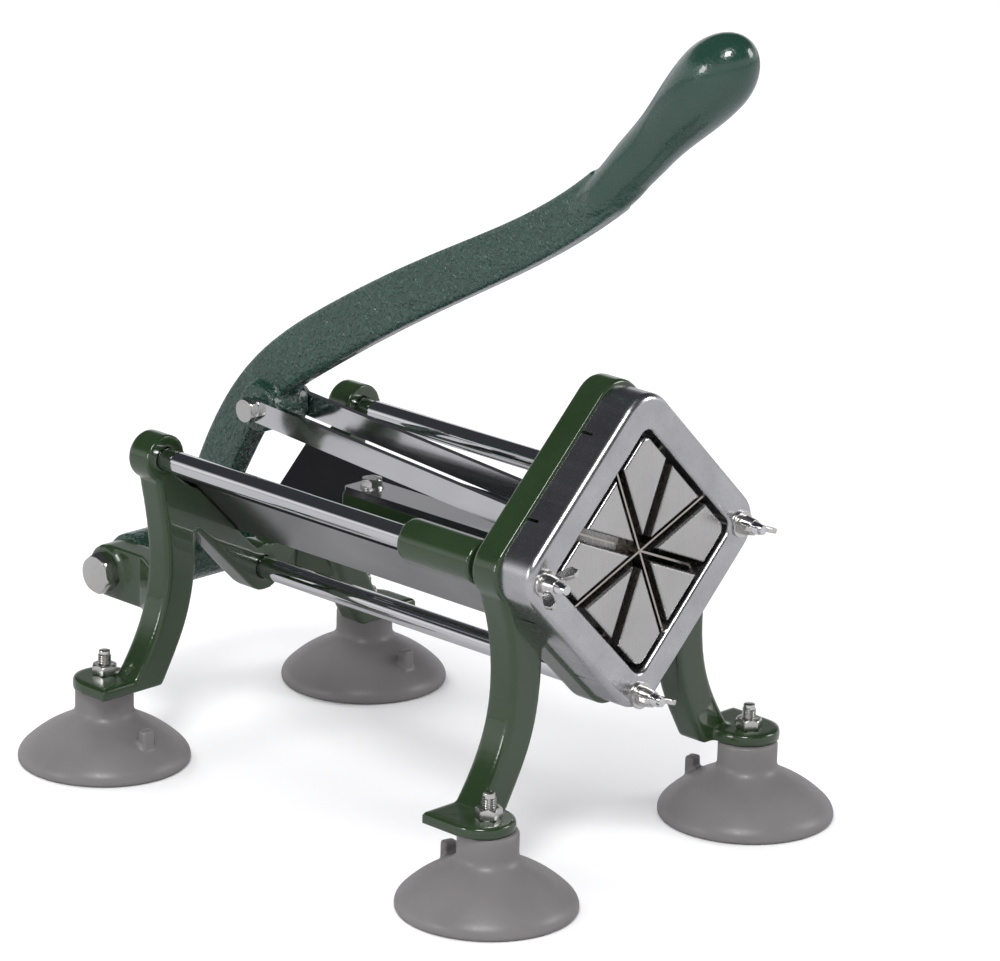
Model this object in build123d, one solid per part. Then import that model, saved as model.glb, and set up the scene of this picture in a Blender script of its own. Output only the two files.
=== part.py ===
from build123d import *

import math
import os

# Wedge-cutting vegetable dicer on four suction-cup feet.
#
# A lever pulls a carriage along two guide rods.  The carriage pushes a padded
# head through a square set on one corner, in which four crossed blades cut
# what lies in the trough into eight wedges.
#
# Frame while modelling: +X to the machine's right, +Y from the blade frame to
# the lever pivot, +Z up, y = 0 on the blade frame's front face and z = 0 on the
# bench.  The finished pieces are moved so that the origin is the bottom centre
# of the whole machine's box.  All sizes are in millimetres.

# ------------------------------------------------------------ driving sizes
# Cutting square, which stands on one corner
OPENING = 76.2                 # clear side of the cutting opening
OPENING_CORNER_R = 5.0
SQUARE_SIDE = 104.0            # outer side of the blade frame
SQUARE_CORNER_R = 15.5
PLATE_SIDE = 106.4             # outer side of the front casting's plate
PLATE_CORNER_R = 13.5
FRAME_DEPTH = 17.0             # blade frame, front to back
PLATE_DEPTH = 14.4             # front casting, front to back
CENTRE_Z = 136.4               # height of the cutting centre above the bench

# Rods that tie the two castings together
ROD_D = 10.0
STUD_D = 5.0                   # threaded front ends, which carry the wing nuts
SIDE_ROD_X = 59.0              # side rods, each side of the middle
BOTTOM_ROD_DROP = 61.5         # bottom rod below the cutting centre
ROD_FREE_LENGTH = 193.9        # between the two castings
SOCKET_DEPTH = 8.0             # rod end let into the rear casting
STUD_PROUD = 12.5              # stud in front of the blade frame

# Wing nuts and their washers
WASHER_THICKNESS = 1.2
WASHER_R = 5.8
WING_HUB_LENGTH = 6.4
WING_SPAN = 10.4               # from the stud's axis to a wing's tip
WING_THICKNESS = 2.2
WING_TURNS = {"left": 40, "right": 165, "bottom": 165}

# Rear casting
REAR_DEPTH = 13.5
BOSS_R = 10.6                  # round bosses that hold the side rods
LOW_BOSS_R = 10.8              # boss of the bottom rod, where the V band turns

# Legs and feet
FOOT_X = 78.9                  # foot screws, each side of the middle
FRONT_FOOT_Y = 8.75
REAR_FOOT_BEHIND = 3.9         # rear foot screws behind the rear casting
LEG_WIDTH = 17.6
LEG_OUTSIDE = 57.8             # outer face at the hip, each side of the middle
LEG_TOP_SLOPE = 18.0           # how far a leg's top falls from outside to inside
PAD_TOP_Z = 39.0
PAD_THICKNESS = 5.0
PAD_R = 14.0
PAD_SHIFT = 1.6                # pad centre outboard of its screw
CUP_R = 37.75
CUP_NECK_R = 12.8
CUP_SHOULDER_Z = 21.5          # where the dome meets the neck
TAB_TOP_Z = 20.3               # pull tab of a cup
TAB_WIDTH = 6.2
TAB_THICKNESS = 5.0
FOOT_SCREW_D = 6.0
FOOT_SCREW_TOP_Z = 49.9
FOOT_NUT_FLATS = 10.0
FOOT_NUT_HEIGHT = 4.6

# Lever pivot and link pivots
PIVOT_BEHIND = 37.0            # pivot behind the rear casting's back face
PIVOT_Z = 70.9
CRANK_BEFORE_PIVOT = 55.3      # crank pin in front of the pivot, lever at rest
CRANK_Z = 151.0
PUSHER_PIN_BEHIND = 8.0        # pusher pin behind the carriage's plate
PUSHER_PIN_Z = 138.0
YOKE_INNER_X = 36.0            # inside faces of the two yoke arms
YOKE_THICKNESS = 12.0
YOKE_R = 12.0
HUB_R = 14.2
LEVER_WIDTH = 12.0
CRANK_BOSS_R = 11.0
LINK_INNER_X = 11.1            # inside faces of the two links
LINK_THICKNESS = 3.0
LINK_HEIGHT = 10.0
PIVOT_BOLT_D = 10.0
LINK_BOLT_D = 6.0
LINK_NUT_HEIGHT = 3.2

# Grip, along its own axis
GRIP_BEFORE_PIVOT = 251.3       # start of the grip in front of the pivot
GRIP_START_Z = 284.2
GRIP_LENGTH = 99.0
GRIP_ANGLE = 46.0              # above level, towards the front
GRIP_NECK_R = 9.7
GRIP_BULB_R = 15.4
GRIP_CAP = 23.5                # rounded end beyond the widest place
GRIP_BLEND = 20.0              # tapered start of the grip inside the flat arm

# Pushing parts
PUSHER_GAP = 2.6               # carriage behind the front plate when pressed
SLEEVE_LENGTH = 41.5
SLEEVE_R = 9.5
CARRIAGE_PLATE = 8.0
HEAD_GAP = 2.5                 # head inside the opening, each side
HEAD_PLATE = 8.0
PAD_FACE_Y = 0.9               # pad faces behind the blade frame's front face
BLADE_LANE = 5.6               # slot between two pads
TONGUE_HALF_WIDTH = 7.6
TONGUE_LENGTH = 130.0          # behind the carriage's plate
STRAP_HALF_WIDTH = 8.4
STRAP_THICKNESS = 3.0
STRAP_TOP_Z = 127.4
STRAP_BOLT_BEFORE_END = 13.0   # strap bolt in front of the tongue's end
STRAP_BOLT_D = 5.0
HEAD_SCREW_D = 5.0
HEAD_SCREW_SPREAD = 27.0       # head screws, each side of the middle

# Blades
BLADE_THICKNESS = 0.9
BLADE_DEPTH = 6.0
FRONT_BLADES_Y = 3.0           # front edges of the front pair
REAR_BLADES_Y = 9.3            # front edges of the rear pair
FIRST_BLADE_ANGLE = 22.5
BLADE_LET_IN = 5.0             # how far each blade end goes into the frame
BLADE_SLOT_OPEN = 6.0          # length of slot that shows outside the frame

# Trough
TROUGH_THICKNESS = 1.5
TROUGH_OFFSET = 38.9           # inner faces from the cutting axis
TROUGH_LOW_X = 15.0
TROUGH_HIGH_X = 42.0
TROUGH_PAST_REAR = 2.5

# Clearances
RUNNING_FIT = 0.05             # radial, pins and rods in moving bores
SIDE_PLAY = 0.3                # along a pivot, each side
BOLT_HOLE = 0.3                # radial, bolts in fixed holes
SEAT = 0.02                    # radial, rod ends in their sockets
BLADE_FIT = 0.15               # each side of a blade in its slot
SADDLE_CLEARANCE = 1.2         # radial, the opened pivot at the carriage

# Edges of the castings and of the machined pieces
CAST_EDGE_R = 2.0
FRAME_EDGE_R = 3.2
PAD_EDGE_R = 1.3

# ----------------------------------------------------------- derived places
PLATE_FRONT_Y = FRAME_DEPTH
PLATE_BACK_Y = PLATE_FRONT_Y + PLATE_DEPTH
REAR_FRONT_Y = PLATE_BACK_Y + ROD_FREE_LENGTH
REAR_BACK_Y = REAR_FRONT_Y + REAR_DEPTH
REAR_FOOT_Y = REAR_BACK_Y + REAR_FOOT_BEHIND
BOTTOM_ROD_Z = CENTRE_Z - BOTTOM_ROD_DROP
ROD_PLACES = {"left": (-SIDE_ROD_X, CENTRE_Z), "right": (SIDE_ROD_X, CENTRE_Z), "bottom": (0.0, BOTTOM_ROD_Z)}
HEAD_SIDE = OPENING - 2 * HEAD_GAP
SQUARE_REACH = SQUARE_SIDE / math.sqrt(2)        # centre to the sharp corner
PAD_BOTTOM_Z = PAD_TOP_Z - PAD_THICKNESS
CARRIAGE_FRONT_Y = PLATE_BACK_Y + PUSHER_GAP
CARRIAGE_BACK_Y = CARRIAGE_FRONT_Y + CARRIAGE_PLATE
PIVOT = (REAR_BACK_Y + PIVOT_BEHIND, PIVOT_Z)                     # as (y, z)
CRANK_PIN = (PIVOT[0] - CRANK_BEFORE_PIVOT, CRANK_Z)              # as (y, z)
PUSHER_PIN = (CARRIAGE_BACK_Y + PUSHER_PIN_BEHIND, PUSHER_PIN_Z)  # as (y, z)
GRIP_START = (PIVOT[0] - GRIP_BEFORE_PIVOT, GRIP_START_Z)         # as (y, z)
TONGUE_END_Y = CARRIAGE_BACK_Y + TONGUE_LENGTH
STRAP_BOLT_Y = TONGUE_END_Y - STRAP_BOLT_BEFORE_END
LINK_OUTER_X = LINK_INNER_X + LINK_THICKNESS
YOKE_OUTER_X = YOKE_INNER_X + YOKE_THICKNESS
TROUGH_OUTER = TROUGH_OFFSET + TROUGH_THICKNESS
TONGUE_TOP_Z = STRAP_TOP_Z - STRAP_THICKNESS
HUB_HALF_LENGTH = YOKE_INNER_X - SIDE_PLAY


# ---------------------------------------------------------------- helpers
def facing_front(y):
    """Work plane at y, with local x along +X and local y along +Z."""
    return Plane(origin=(0, y, 0), x_dir=(1, 0, 0), z_dir=(0, -1, 0))


def facing_side(x):
    """Work plane at x, with local x along +Y and local y along +Z."""
    return Plane(origin=(x, 0, 0), x_dir=(0, 1, 0), z_dir=(1, 0, 0))


def slab(sketch, y_front, y_back):
    """Solid of an XZ outline between two depths."""
    return extrude(facing_front(y_back) * sketch, y_back - y_front)


def plate(sketch, x_low, x_high):
    """Solid of a YZ outline between two values of x."""
    return extrude(facing_side(x_low) * sketch, x_high - x_low)


def layer(sketch, z_low, z_high):
    """Solid of an XY outline between two heights."""
    return extrude(Plane.XY.offset(z_low) * sketch, z_high - z_low)


def bar_y(radius, x, z, y_front, y_back):
    """Round bar along Y."""
    return slab(Pos(x, z) * Circle(radius), y_front, y_back)


def bar_x(radius, y, z, x_low, x_high):
    """Round bar along X."""
    return plate(Pos(y, z) * Circle(radius), x_low, x_high)


def bar_z(radius, x, y, z_low, z_high):
    """Round bar along Z."""
    return layer(Pos(x, y) * Circle(radius), z_low, z_high)


def square_on_corner(side, corner_r):
    """Square about the cutting centre, turned to stand on one corner."""
    return Pos(0, CENTRE_Z) * Rot(0, 0, 45) * RectangleRounded(side, side, corner_r)


def hexagon(across_flats):
    """Regular hexagon by its size across flats."""
    return RegularPolygon(across_flats / math.sqrt(3), 6)


def ring_edges(solid, axis, place, tolerance=0.01):
    """Edges that lie wholly in the plane axis = place."""
    return solid.edges().filter_by_position(axis, place - tolerance, place + tolerance)


def mirrored(solid):
    """The same piece on the machine's other side."""
    return mirror(solid, about=Plane.YZ)


# ---------------------------------------------------------------- castings
def leg(y_front, y_back, top_z):
    """One left leg: down from the casting, then splayed outwards to its pad."""
    out = LEG_OUTSIDE
    foot = FOOT_X - 2.0
    hip_z = CENTRE_Z - 30
    outer = Spline(
        (-out - 7.5, top_z),
        (-out - 1.6, hip_z),
        (-out, hip_z - 20),
        (-out - 3.0, hip_z - 39),
        (-out - 9.6, hip_z - 54),
        (-foot, PAD_TOP_Z - 1),
    )
    inner = Spline(
        (-out + LEG_WIDTH, top_z - LEG_TOP_SLOPE),
        (-out + LEG_WIDTH - 0.3, hip_z - 16),
        (-out + LEG_WIDTH - 2.0, hip_z - 32),
        (-out + LEG_WIDTH - 6.2, hip_z - 47),
        (-out + LEG_WIDTH - 12.4, hip_z - 60),
        (-foot + LEG_WIDTH + 0.6, PAD_BOTTOM_Z + 1.5),
    )
    heel = Polyline(outer @ 1, (-foot, PAD_BOTTOM_Z), (-foot + LEG_WIDTH - 1.5, PAD_BOTTOM_Z), inner @ 1)
    top = Line(outer @ 0, inner @ 0)
    solid = slab(make_face([outer, heel, inner, top]), y_front, y_back)
    long_edges = solid.edges().filter_by(GeomType.BSPLINE)
    return fillet(long_edges, CAST_EDGE_R)


def foot_pad(foot_y, y_far):
    """Flat left pad round a foot screw, with a square heel at y_far."""
    middle_x = -FOOT_X - PAD_SHIFT
    towards = 1 if y_far > foot_y else -1
    round_y = foot_y + towards * 2.2
    outline = Pos(middle_x, round_y) * Circle(PAD_R)
    outline += Pos(middle_x, (round_y + y_far) / 2) * Rectangle(2 * PAD_R, abs(y_far - round_y))
    solid = layer(outline, PAD_BOTTOM_Z, PAD_TOP_Z)
    solid = fillet(ring_edges(solid, Axis.Z, PAD_TOP_Z), 1.2)
    return solid - bar_z(FOOT_SCREW_D / 2 + BOLT_HOLE, -FOOT_X, foot_y, PAD_BOTTOM_Z - 1, PAD_TOP_Z + 1)


def legs_and_pads(y_front, y_back, foot_y, y_far, top_z):
    """Both legs of a casting with their pads, less the screw holes."""
    left = leg(y_front, y_back, top_z) + foot_pad(foot_y, y_far)
    return [left, mirrored(left)]


def make_front_casting():
    """Square plate on its corner, with the opening, two legs and the stud holes."""
    solid = slab(square_on_corner(PLATE_SIDE, PLATE_CORNER_R), PLATE_FRONT_Y, PLATE_BACK_Y)
    solid = fillet(ring_edges(solid, Axis.Y, PLATE_BACK_Y), CAST_EDGE_R)
    for side in legs_and_pads(PLATE_FRONT_Y, PLATE_BACK_Y, FRONT_FOOT_Y, PLATE_BACK_Y, CENTRE_Z - 10):
        solid += side
    solid -= slab(square_on_corner(OPENING, OPENING_CORNER_R), PLATE_FRONT_Y - 1, PLATE_BACK_Y + 1)
    for x, z in ROD_PLACES.values():
        solid -= bar_y(STUD_D / 2 + BOLT_HOLE, x, z, PLATE_FRONT_Y - 1, PLATE_BACK_Y + 1)
    return solid


def band_outline():
    """V-shaped band under the trough, from leg to leg, touching the bottom boss."""
    high = CENTRE_Z - TROUGH_OUTER * math.sqrt(2)
    low = BOTTOM_ROD_Z - LOW_BOSS_R * math.sqrt(2)
    reach = TROUGH_HIGH_X - 1.0
    touch = LOW_BOSS_R / math.sqrt(2)
    return make_face(
        Polyline(
            (0, high),
            (reach, high + reach),
            (reach + 6, low + reach),
            (reach, low + reach),
            (touch, low + touch),
            (-touch, low + touch),
            (-reach, low + reach),
            (-reach - 6, low + reach),
            (-reach, high + reach),
            close=True,
        )
    )


def yoke_arm():
    """Left yoke arm from the rear casting to the lever pivot."""
    y, z = PIVOT
    root = SIDE_ROD_X - 3.0
    outline = make_face(
        Polyline(
            (-YOKE_INNER_X, REAR_BACK_Y + 6),
            (-YOKE_OUTER_X + 4, REAR_FRONT_Y + 5),
            (-root, REAR_FRONT_Y + 5),
            (-root, REAR_BACK_Y),
            (-YOKE_OUTER_X, REAR_BACK_Y + 15),
            (-YOKE_OUTER_X, y),
            (-YOKE_INNER_X, y),
            close=True,
        )
    )
    arm = layer(outline, z - YOKE_R, z + YOKE_R)
    arm += bar_x(YOKE_R, y, z, -YOKE_OUTER_X, -YOKE_INNER_X)
    arm += bar_x(YOKE_R - 1.5, y, z, -YOKE_OUTER_X - 1.2, -YOKE_INNER_X)
    return arm - bar_x(PIVOT_BOLT_D / 2 + SEAT, y, z, -YOKE_OUTER_X - 2, -YOKE_INNER_X + 1)


def make_rear_casting():
    """Three rod bosses, the V band, two legs and the yoke for the lever."""
    band = slab(band_outline(), REAR_FRONT_Y, REAR_BACK_Y)
    solid = band
    for side, (x, z) in ROD_PLACES.items():
        boss_r = LOW_BOSS_R if side == "bottom" else BOSS_R
        boss = bar_y(boss_r, x, z, REAR_FRONT_Y, REAR_BACK_Y)
        solid += fillet(ring_edges(boss, Axis.Y, REAR_BACK_Y), CAST_EDGE_R)
    for side in legs_and_pads(REAR_FRONT_Y, REAR_BACK_Y, REAR_FOOT_Y, REAR_FRONT_Y, CENTRE_Z):
        solid += side
    arm = yoke_arm()
    solid += arm
    solid += mirrored(arm)
    for x, z in ROD_PLACES.values():
        solid -= bar_y(ROD_D / 2 + SEAT, x, z, REAR_FRONT_Y - 1, REAR_FRONT_Y + SOCKET_DEPTH)
    return solid


# ---------------------------------------------------- blade frame and blades
def blade_angles():
    """Angles of the four blades, in the order front, front, rear, rear."""
    return [FIRST_BLADE_ANGLE, FIRST_BLADE_ANGLE + 90, FIRST_BLADE_ANGLE + 45, FIRST_BLADE_ANGLE + 135]


def blade_reach(angle):
    """Half length of a blade at this angle, out to the opening's side."""
    off_normal = abs(angle % 90 - 45)
    return OPENING / 2 / math.cos(math.radians(off_normal))


def blade_strip(angle, y_front, y_back, half_length, thickness):
    """Flat strip through the cutting axis, at an angle in the XZ plane."""
    outline = Pos(0, CENTRE_Z) * Rot(0, 0, angle) * Rectangle(2 * half_length, thickness)
    return slab(outline, y_front, y_back)


def make_blade_frame():
    """Thick square frame with rounded front edges, blade slots and stud holes."""
    solid = slab(square_on_corner(SQUARE_SIDE, SQUARE_CORNER_R), 0, FRAME_DEPTH)
    solid = fillet(ring_edges(solid, Axis.Y, 0), FRAME_EDGE_R)
    opening = slab(square_on_corner(OPENING, OPENING_CORNER_R), -1, FRAME_DEPTH + 1)
    solid -= opening
    rim = [e for e in ring_edges(solid, Axis.Y, 0) if e.center().Y < 0.1]
    inner = [e for e in rim if (e.center() - Vector(0, 0, CENTRE_Z)).length < OPENING * 0.72]
    solid = fillet(inner, FRAME_EDGE_R * 0.6)
    slot = BLADE_THICKNESS + 2 * BLADE_FIT
    for number, angle in enumerate(blade_angles()):
        front = FRONT_BLADES_Y if number < 2 else REAR_BLADES_Y
        seat = blade_reach(angle) + BLADE_LET_IN + BLADE_FIT
        solid -= blade_strip(angle, front - BLADE_FIT, FRAME_DEPTH + 1, seat, slot)
        through = FRAME_DEPTH - BLADE_SLOT_OPEN
        solid -= blade_strip(angle, through, FRAME_DEPTH + 1, SQUARE_REACH, slot)
    for x, z in ROD_PLACES.values():
        solid -= bar_y(STUD_D / 2 + BOLT_HOLE, x, z, -1, FRAME_DEPTH + 1)
    return solid


def make_blades():
    """Four blades in two crossed pairs, halved over each other in the middle."""
    blades = {}
    halving = BLADE_THICKNESS / 2 + BLADE_FIT
    for number, angle in enumerate(blade_angles()):
        front = FRONT_BLADES_Y if number < 2 else REAR_BLADES_Y
        back = front + BLADE_DEPTH
        middle = (front + back) / 2
        strip = blade_strip(angle, front, back, blade_reach(angle) + BLADE_LET_IN, BLADE_THICKNESS)
        cut = (front - 1, middle + BLADE_FIT) if number % 2 else (middle - BLADE_FIT, back + 1)
        strip -= blade_strip(angle, cut[0], cut[1], halving, 2 * BLADE_THICKNESS)
        layer_name = "front" if number < 2 else "rear"
        turn = "rising" if math.tan(math.radians(angle)) > 0 else "falling"
        blades[f"blade_{layer_name}_{turn}"] = strip
    return blades


# ------------------------------------------------------- rods and fasteners
def make_rod(x, z):
    """Tie rod with a threaded front end."""
    rod = bar_y(ROD_D / 2, x, z, PLATE_BACK_Y, REAR_FRONT_Y + SOCKET_DEPTH - 0.5)
    stud = bar_y(STUD_D / 2, x, z, -STUD_PROUD, PLATE_BACK_Y)
    stud = chamfer(ring_edges(stud, Axis.Y, -STUD_PROUD), 0.7)
    return rod + stud


def make_washers():
    """Flat washers under the three wing nuts."""
    group = []
    for x, z in ROD_PLACES.values():
        washer = bar_y(WASHER_R, x, z, -WASHER_THICKNESS, 0)
        group.append(washer - bar_y(STUD_D / 2 + BOLT_HOLE, x, z, -WASHER_THICKNESS - 1, 1))
    return group


def make_wing_nut(x, z, turn):
    """Wing nut on the stud at (x, z), with its wings turned by an angle in degrees."""
    back = -WASHER_THICKNESS
    profile = make_face(
        Polyline(
            (0, back),
            (4.2, back),
            (4.2, back - 1.4),
            (3.4, back - WING_HUB_LENGTH),
            (0, back - WING_HUB_LENGTH),
            close=True,
        )
    )
    nut = revolve(profile, Axis.Y)
    wing = make_face(
        Polyline(
            (2.9, back - 1.5),
            (6.0, back - 2.2),
            (WING_SPAN, back - 6.6),
            (WING_SPAN - 0.5, back - 10.6),
            (WING_SPAN - 3.2, back - 10.9),
            (3.6, back - 5.9),
            (2.9, back - 5.9),
            close=True,
        )
    )
    wing = fillet(wing.vertices().filter_by(lambda v: v.X > 6), 1.2)
    blade = extrude(wing, WING_THICKNESS / 2, both=True)
    nut += blade
    nut += blade.rotate(Axis.Y, 180)
    nut = nut.rotate(Axis.Y, -turn).translate(Vector(x, 0, z))
    return nut - bar_y(STUD_D / 2 + RUNNING_FIT, x, z, back - 20, back + 1)


def bolt_along_x(diameter, head_flats, head_height, centre, x_head, x_tip, turn=0.0):
    """Hex bolt along X with its head on the left, under-head face at x_head."""
    y, z = centre
    shank = bar_x(diameter / 2, y, z, x_head, x_tip)
    shank = chamfer(ring_edges(shank, Axis.X, x_tip), 0.08 * diameter)
    head = plate(Pos(y, z) * Rot(0, 0, turn) * hexagon(head_flats), x_head - head_height, x_head)
    cone = bar_x(head_flats / math.sqrt(3) * 1.02, y, z, x_head - head_height, x_head)
    cone = chamfer(ring_edges(cone, Axis.X, x_head - head_height), head_height * 0.22, head_flats * 0.1)
    return (head & cone) + shank


def nut_along_x(diameter, flats, height, centre, x_low, turn=0.0):
    """Hex nut along X from x_low outwards."""
    y, z = centre
    nut = plate(Pos(y, z) * Rot(0, 0, turn) * hexagon(flats), x_low, x_low + height)
    cone = bar_x(flats / math.sqrt(3) * 1.02, y, z, x_low, x_low + height)
    cone = chamfer(ring_edges(cone, Axis.X, x_low + height), height * 0.18, flats * 0.1)
    return (nut & cone) - bar_x(diameter / 2 + SEAT, y, z, x_low - 1, x_low + height + 1)


# ------------------------------------------------------------ lever and links
def lever_outline():
    """Side view of the lever's arm, from the hub to the start of the grip."""
    y, z = PIVOT
    rear = Spline(
        (y + 5.5, z + 8),
        (y - 5.3, z + 32),
        (y - 14.6, z + 53.5),
        (y - 42.4, z + 95.6),
        (y - 92.6, z + 133.6),
        (y - 156.6, z + 169.2),
        (y - 217.6, z + 201.6),
        (GRIP_START[0] + 7.0, GRIP_START[1] + 7.5),
    )
    front = Spline(
        (y - 12.5, z + 4),
        (y - 26.5, z + 31),
        (y - 36.5, z + 49.5),
        (y - 58.0, z + 80.5),
        (y - 82.5, z + 99),
        (y - 155.0, z + 142.5),
        (y - 223.5, z + 181.5),
        (GRIP_START[0] - 6.5, GRIP_START[1] - 7.5),
    )
    return make_face([rear, Line(rear @ 1, front @ 1), front, Line(front @ 0, rear @ 0)])


def make_grip():
    """Bulbous round grip, turned about its own sloping axis, with rounded ends."""
    neck, bulb, widest = GRIP_NECK_R, GRIP_BULB_R, GRIP_LENGTH - GRIP_CAP
    root = EllipticalCenterArc((0, 0), neck, GRIP_BLEND, start_angle=270, arc_size=90)
    side = Spline(
        (neck, 0),
        (neck + 0.9, 0.25 * widest),
        (neck + 1.5, 0.48 * widest),
        (bulb - 1.5, 0.76 * widest),
        (bulb, widest),
        tangents=((0, 1), (0, 1)),
    )
    cap = EllipticalCenterArc((0, widest), bulb, GRIP_CAP, start_angle=0, arc_size=90)
    spine = Line((0, GRIP_LENGTH), (0, -GRIP_BLEND))
    turned = revolve(Plane.XZ * make_face([root, side, cap, spine]), Axis.Z)
    return turned.rotate(Axis.X, 90 - GRIP_ANGLE).translate(Vector(0, *GRIP_START))


def make_lever():
    """Cast lever: wide hub, curved flat arm with the link boss, round grip."""
    half = LEVER_WIDTH / 2
    arm = plate(lever_outline(), -half, half)
    long_edges = arm.edges().filter_by(GeomType.BSPLINE)
    arm = fillet(long_edges, CAST_EDGE_R)
    hub = bar_x(HUB_R, PIVOT[0], PIVOT[1], -HUB_HALF_LENGTH, HUB_HALF_LENGTH)
    boss_half = LINK_INNER_X - SIDE_PLAY
    boss = bar_x(CRANK_BOSS_R, CRANK_PIN[0], CRANK_PIN[1], -boss_half, boss_half)
    solid = arm + hub + boss + make_grip()
    solid -= bar_x(PIVOT_BOLT_D / 2 + RUNNING_FIT, PIVOT[0], PIVOT[1], -HUB_HALF_LENGTH - 1, HUB_HALF_LENGTH + 1)
    return solid - bar_x(LINK_BOLT_D / 2 + RUNNING_FIT, CRANK_PIN[0], CRANK_PIN[1], -boss_half - 1, boss_half + 1)


def make_link():
    """Left flat link from the lever to the carriage."""
    dy = CRANK_PIN[0] - PUSHER_PIN[0]
    dz = CRANK_PIN[1] - PUSHER_PIN[1]
    length = math.hypot(dy, dz)
    middle = Pos((CRANK_PIN[0] + PUSHER_PIN[0]) / 2, (CRANK_PIN[1] + PUSHER_PIN[1]) / 2)
    outline = middle * Rot(0, 0, math.degrees(math.atan2(dz, dy))) * SlotCenterToCenter(length, LINK_HEIGHT)
    link = plate(outline, -LINK_OUTER_X, -LINK_INNER_X)
    for y, z in (CRANK_PIN, PUSHER_PIN):
        link -= bar_x(LINK_BOLT_D / 2 + SEAT, y, z, -LINK_OUTER_X - 1, -LINK_INNER_X + 1)
    return link


# ------------------------------------------------------------- pushing parts
def make_carriage():
    """Cast carriage: plate, two sleeves on the side rods, tongue and pin saddle."""
    front, back = CARRIAGE_FRONT_Y, CARRIAGE_BACK_Y
    solid = slab(square_on_corner(HEAD_SIDE - 2, OPENING_CORNER_R), front, back)
    solid += slab(Pos(0, CENTRE_Z) * Rectangle(2 * SIDE_ROD_X, 12), front + 1, back)
    for x in (-SIDE_ROD_X, SIDE_ROD_X):
        sleeve = bar_y(SLEEVE_R, x, CENTRE_Z, front, front + SLEEVE_LENGTH)
        solid += fillet(ring_edges(sleeve, Axis.Y, front + SLEEVE_LENGTH), 1.5)
    half = TONGUE_HALF_WIDTH
    tongue = slab(
        make_face(
            Polyline(
                (-half, TONGUE_TOP_Z),
                (half, TONGUE_TOP_Z),
                (half, TONGUE_TOP_Z - 12),
                (half - 4, TONGUE_TOP_Z - 18),
                (4 - half, TONGUE_TOP_Z - 18),
                (-half, TONGUE_TOP_Z - 12),
                close=True,
            )
        ),
        back - 1,
        TONGUE_END_Y,
    )
    solid += chamfer(ring_edges(tongue, Axis.Y, TONGUE_END_Y), 2.5)
    pin_y, pin_z = PUSHER_PIN
    saddle_r = LINK_BOLT_D / 2 + SADDLE_CLEARANCE
    lug_half = LINK_INNER_X - 2 * SIDE_PLAY
    lug = plate(Pos((back + pin_y + 11) / 2, (TONGUE_TOP_Z + pin_z + 1) / 2 - 1)
                * Rectangle(pin_y + 11 - back + 2, pin_z + 3 - TONGUE_TOP_Z), -lug_half, lug_half)
    solid += lug
    solid -= bar_x(saddle_r, pin_y, pin_z, -lug_half - 1, lug_half + 1)
    solid -= plate(Pos(pin_y, pin_z + 10) * Rectangle(2 * saddle_r, 20), -lug_half - 1, lug_half + 1)
    for x in (-SIDE_ROD_X, SIDE_ROD_X):
        solid -= bar_y(ROD_D / 2 + RUNNING_FIT, x, CENTRE_Z, front - 1, front + SLEEVE_LENGTH + 1)
    solid -= bar_z(STRAP_BOLT_D / 2 + SEAT, 0, STRAP_BOLT_Y, TONGUE_TOP_Z - 11, TONGUE_TOP_Z + 1)
    for x, z in head_screw_places():
        solid -= bar_y(HEAD_SCREW_D / 2 + BOLT_HOLE, x, z, front - 1, back + 1)
    return solid


def head_screw_places():
    """The two screws that hold the head on the carriage, as (x, z)."""
    return [(-HEAD_SCREW_SPREAD, CENTRE_Z), (HEAD_SCREW_SPREAD, CENTRE_Z)]


def make_head():
    """Pushing head: eight pads on a plate, with a lane for each blade between."""
    back = CARRIAGE_FRONT_Y
    plate_front = back - HEAD_PLATE
    block = slab(square_on_corner(HEAD_SIDE, OPENING_CORNER_R - 0.8), PAD_FACE_Y, back)
    for angle in blade_angles():
        block -= blade_strip(angle, PAD_FACE_Y - 1, plate_front, SQUARE_REACH, BLADE_LANE)
    block = fillet(ring_edges(block, Axis.Y, PAD_FACE_Y), PAD_EDGE_R)
    for x, z in head_screw_places():
        block -= bar_y(HEAD_SCREW_D / 2 + SEAT, x, z, plate_front - 4, back + 1)
    return block


def make_head_screws():
    """Two screws from behind the carriage plate into the head."""
    group = []
    for x, z in head_screw_places():
        shank = bar_y(HEAD_SCREW_D / 2, x, z, CARRIAGE_FRONT_Y - HEAD_PLATE - 3, CARRIAGE_BACK_Y)
        cap = bar_y(4.2, x, z, CARRIAGE_BACK_Y, CARRIAGE_BACK_Y + 3.5)
        cap = fillet(ring_edges(cap, Axis.Y, CARRIAGE_BACK_Y + 3.5), 1.0)
        group.append(shank + cap)
    return group


def make_strap():
    """Flat steel strap on the tongue, from the saddle lug to the bolt."""
    front = PUSHER_PIN[0] + 12
    rear = STRAP_BOLT_Y + 9
    length = rear - front
    outline = Pos(0, front + length / 2) * Rectangle(2 * STRAP_HALF_WIDTH, length)
    outline = fillet(outline.vertices(), 1.5)
    strap = layer(outline, TONGUE_TOP_Z, STRAP_TOP_Z)
    return strap - bar_z(STRAP_BOLT_D / 2 + BOLT_HOLE, 0, STRAP_BOLT_Y, TONGUE_TOP_Z - 1, STRAP_TOP_Z + 1)


def make_strap_bolt():
    """Upright hex bolt through the strap into the tongue."""
    shank = bar_z(STRAP_BOLT_D / 2, 0, STRAP_BOLT_Y, TONGUE_TOP_Z - 10, STRAP_TOP_Z + 1)
    head = layer(Pos(0, STRAP_BOLT_Y) * Rot(0, 0, 12) * hexagon(8.5), STRAP_TOP_Z, STRAP_TOP_Z + 4)
    flange = bar_z(5.2, 0, STRAP_BOLT_Y, STRAP_TOP_Z, STRAP_TOP_Z + 0.8)
    return head + flange + shank


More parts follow.
